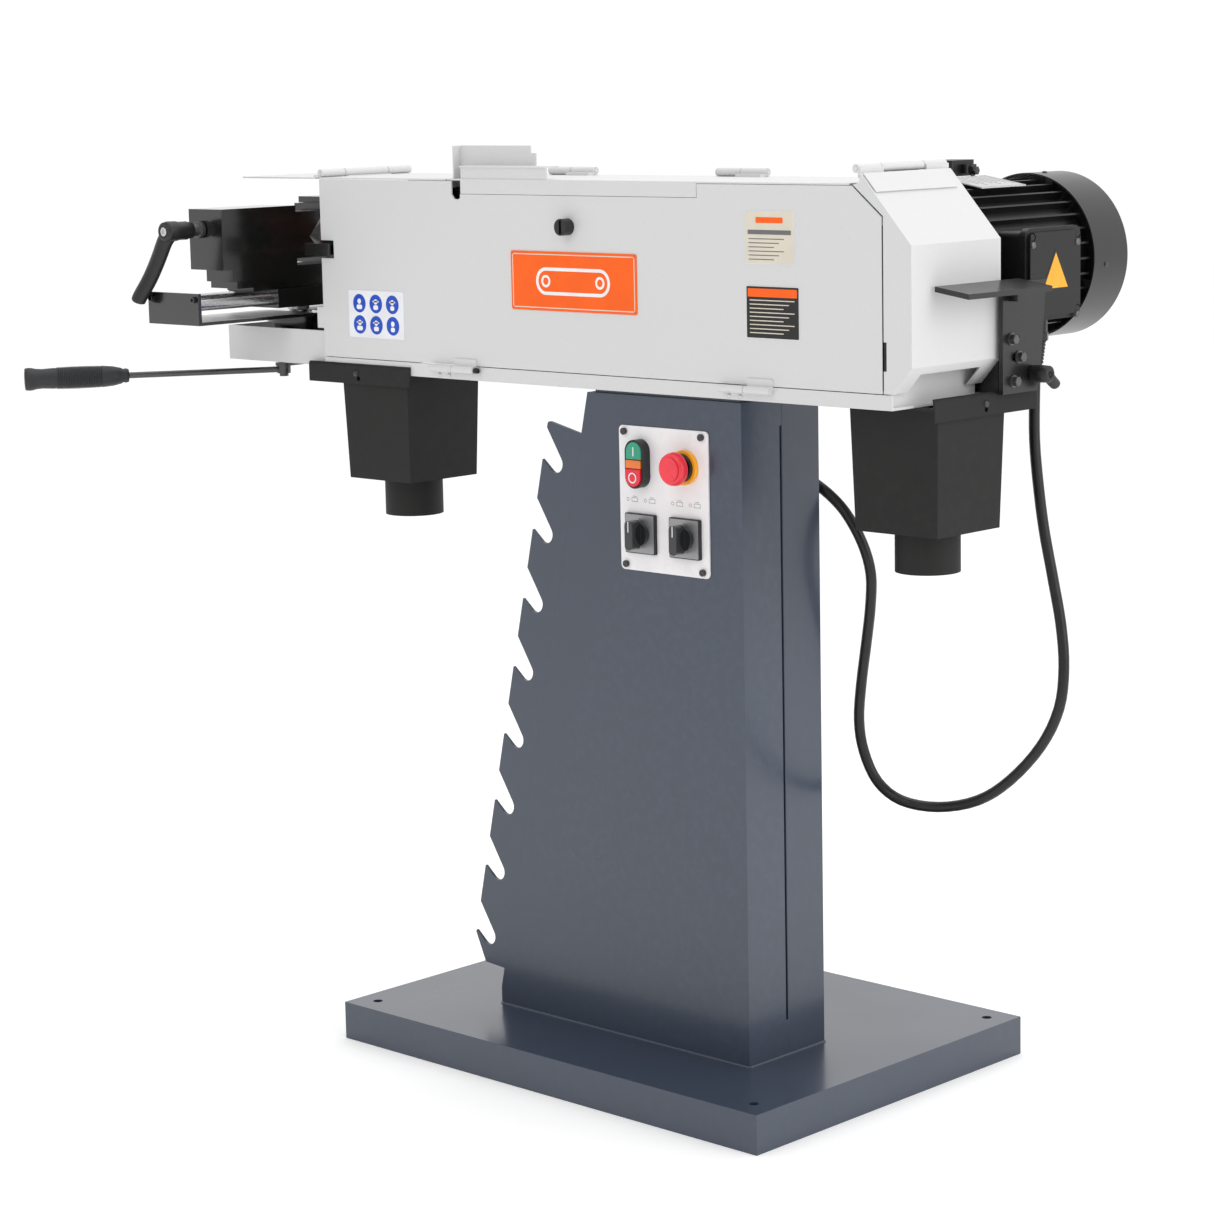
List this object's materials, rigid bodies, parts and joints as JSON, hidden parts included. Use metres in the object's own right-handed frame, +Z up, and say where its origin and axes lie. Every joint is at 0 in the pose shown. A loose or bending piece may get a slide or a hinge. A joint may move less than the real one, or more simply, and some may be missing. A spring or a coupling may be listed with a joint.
{
  "type": "tube-notching belt grinder",
  "caption": "Tube-notching belt grinder with a folding-guard head, rear motor, clamping vise, work rest, two dust hoods and a sheet-metal column.",
  "frame": {"origin": "middle of the base's underside, on the floor", "axes": "+X towards the motor end along the belt, -Y towards the operator, +Z up"},
  "size_m": [1.3389, 0.7359, 1.132],
  "materials": {
    "stand_paint": "semi-gloss blue-grey paint",
    "head_paint": "semi-gloss light grey paint",
    "hood_paint": "matte black paint",
    "panel_sheet": "printed overlay",
    "black_plastic": "fine texture",
    "green_plastic": "moulded",
    "red_plastic": "moulded",
    "orange_lens": "translucent look",
    "yellow_plastic": "moulded",
    "switch_plate": "satin with a black border",
    "contactor_plastic": "moulded",
    "black_screws": "blackened steel",
    "badge": "orange plate",
    "notice": "printed plates without lettering",
    "bright_steel": "turned and ground",
    "roller_rubber": "ground rubber",
    "abrasive": "abrasive grain on cloth",
    "motor_paint": "satin black",
    "fan_plastic": "moulded",
    "cable_rubber": "smooth rubber sheath",
    "dark_steel": "blackened",
    "lever_steel": "dull steel rod"
  },
  "bodies": {
    "frame": {"base_tray": "stand_paint", "column_front": "stand_paint", "column_rear": "stand_paint", "column_top_plate": "stand_paint", "roller_racks": "stand_paint", "panel_plate": "panel_sheet", "button_housing": "black_plastic", "indicator_lens": "orange_lens", "estop_ring": "yellow_plastic", "selector_plates": "switch_plate", "contactor": "contactor_plastic", "fasteners": "black_screws", "head_tray": "head_paint", "back_plate": "head_paint", "top_cover": "head_paint", "hinge_pins": "head_paint", "hood_left": "hood_paint", "hood_right": "hood_paint", "tension_guide": "dark_steel", "idler_shaft": "bright_steel", "platen": "dark_steel", "abrasive_belt": "abrasive", "motor_body": "motor_paint", "motor_flange": "motor_paint", "fan_cowl": "motor_paint", "terminal_box": "motor_paint", "motor_cable": "cable_rubber", "rest_mount": "hood_paint", "tension_spring": "bright_steel"},
    "door": {"front_door": "head_paint", "badge_plate": "badge", "info_plates": "notice"},
    "door_knob": {"door_knob": "black_plastic"},
    "top_flap": {"top_flap": "head_paint", "stop_plate": "head_paint"},
    "left_flap": {"left_flap": "head_paint"},
    "end_guard": {"end_guard": "head_paint"},
    "drive": {"rotor_shaft": "bright_steel", "drive_drum": "bright_steel", "motor_fan": "fan_plastic"},
    "idler": {"idler_roller": "bright_steel"},
    "tension_arm": {"tension_arm": "dark_steel"},
    "contact_roller": {"contact_roller": "roller_rubber"},
    "start_button": {"start_button": "green_plastic"},
    "stop_button": {"stop_button": "red_plastic"},
    "estop": {"estop_button": "red_plastic"},
    "direction_knob": {"direction_knob": "black_plastic"},
    "speed_knob": {"speed_knob": "black_plastic"},
    "feed": {"feed_carriage": "dark_steel", "swivel_bolt": "bright_steel"},
    "lever": {"feed_lever": "lever_steel", "lever_grip": "black_plastic"},
    "slide": {"slide_frame": "dark_steel", "guide_rods": "bright_steel"},
    "vise": {"vise_body": "dark_steel"},
    "ram": {"vise_ram": "dark_steel"},
    "screw": {"vise_screw": "bright_steel", "vise_handle": "black_plastic"},
    "rest": {"work_rest": "hood_paint"},
    "clamp": {"clamp_lever": "black_plastic"}
  },
  "joints": [
    {"name": "door_hinge", "type": "hinge", "parent": "frame", "child": "door", "pos_m": [0, -0.14, 0.858], "axis": [1, 0, 0], "range_deg": [0, 110]},
    {"name": "door_knob_turn", "type": "hinge", "parent": "door", "child": "door_knob", "pos_m": [-0.03, -0.14, 1.037], "axis": [0, 1, 0], "range_deg": [-45, 45]},
    {"name": "top_flap_hinge", "type": "hinge", "parent": "frame", "child": "top_flap", "pos_m": [0, 0.009, 1.0973], "axis": [-1, 0, 0], "range_deg": [0, 100]},
    {"name": "left_flap_hinge", "type": "hinge", "parent": "frame", "child": "left_flap", "pos_m": [-0.476, 0, 1.0973], "axis": [0, 1, 0], "range_deg": [0, 100]},
    {"name": "end_guard_hinge", "type": "hinge", "parent": "frame", "child": "end_guard", "pos_m": [0.41, 0, 1.108], "axis": [0, -1, 0], "range_deg": [0, 1]},
    {"name": "drive_spin", "type": "hinge", "parent": "frame", "child": "drive", "pos_m": [0.338, 0, 0.989], "axis": [0, 1, 0], "continuous": true},
    {"name": "idler_spin", "type": "hinge", "parent": "frame", "child": "idler", "pos_m": [-0.3, 0, 1.057], "axis": [0, 1, 0], "continuous": true},
    {"name": "tension_slide", "type": "slide", "parent": "frame", "child": "tension_arm", "axis": [1, 0, 0], "range_m": [0, 0.012], "stiffness_N_per_m": 4000, "springref_m": -0.02, "deforming": ["tension_spring", "abrasive_belt"]},
    {"name": "contact_spin", "type": "hinge", "parent": "tension_arm", "child": "contact_roller", "pos_m": [-0.491, 0, 1.012], "axis": [0, 1, 0], "continuous": true},
    {"name": "start_press", "type": "slide", "parent": "frame", "child": "start_button", "axis": [0, 1, 0], "range_m": [0, 0.003], "stiffness_N_per_m": 600, "springref_m": -0.001},
    {"name": "stop_press", "type": "slide", "parent": "frame", "child": "stop_button", "axis": [0, 1, 0], "range_m": [0, 0.003], "stiffness_N_per_m": 600, "springref_m": -0.001},
    {"name": "estop_press", "type": "slide", "parent": "frame", "child": "estop", "axis": [0, 1, 0], "range_m": [0, 0.004]},
    {"name": "direction_turn", "type": "hinge", "parent": "frame", "child": "direction_knob", "pos_m": [0.0735, -0.13, 0.67633], "axis": [0, 1, 0], "range_deg": [-45, 45]},
    {"name": "speed_turn", "type": "hinge", "parent": "frame", "child": "speed_knob", "pos_m": [0.1445, -0.13, 0.67633], "axis": [0, 1, 0], "range_deg": [-45, 45]},
    {"name": "feed_slide", "type": "slide", "parent": "frame", "child": "feed", "axis": [1, 0, 0], "range_m": [-0.03, 0.03]},
    {"name": "lever_turn", "type": "hinge", "parent": "frame", "child": "lever", "pos_m": [-0.6, -0.1, 0.837], "axis": [0, 0, 1], "range_deg": [-22, 22]},
    {"name": "swivel_turn", "type": "hinge", "parent": "feed", "child": "slide", "pos_m": [-0.597, -0.07, 0.911], "axis": [0, 0, 1], "range_deg": [-25, 10]},
    {"name": "cross_slide", "type": "slide", "parent": "slide", "child": "vise", "axis": [0, 1, 0], "range_m": [-0.1, 0]},
    {"name": "ram_slide", "type": "slide", "parent": "vise", "child": "ram", "axis": [0, 1, 0], "range_m": [-0.06, 0]},
    {"name": "screw_turn", "type": "hinge", "parent": "ram", "child": "screw", "pos_m": [-0.6, -0.25, 1.028], "axis": [0, 1, 0], "range_deg": [-4330, 10]},
    {"name": "rest_swing", "type": "hinge", "parent": "frame", "child": "rest", "pos_m": [0.487, 0.07, 0.872], "axis": [1, 0, 0], "range_deg": [0, 90]},
    {"name": "clamp_turn", "type": "hinge", "parent": "frame", "child": "clamp", "pos_m": [0.487, 0.07, 0.872], "axis": [1, 0, 0], "range_deg": [-45, 45]}
  ],
  "couplings": [
    {"joint": "idler_spin", "follows": "drive_spin", "ratio": 4.4},
    {"joint": "contact_spin", "follows": "drive_spin", "ratio": 4.1905},
    {"joint": "lever_turn", "follows": "feed_slide", "rad_per_m": -12.5},
    {"joint": "screw_turn", "follows": "ram_slide", "rad_per_m": 1256.6}
  ]
}
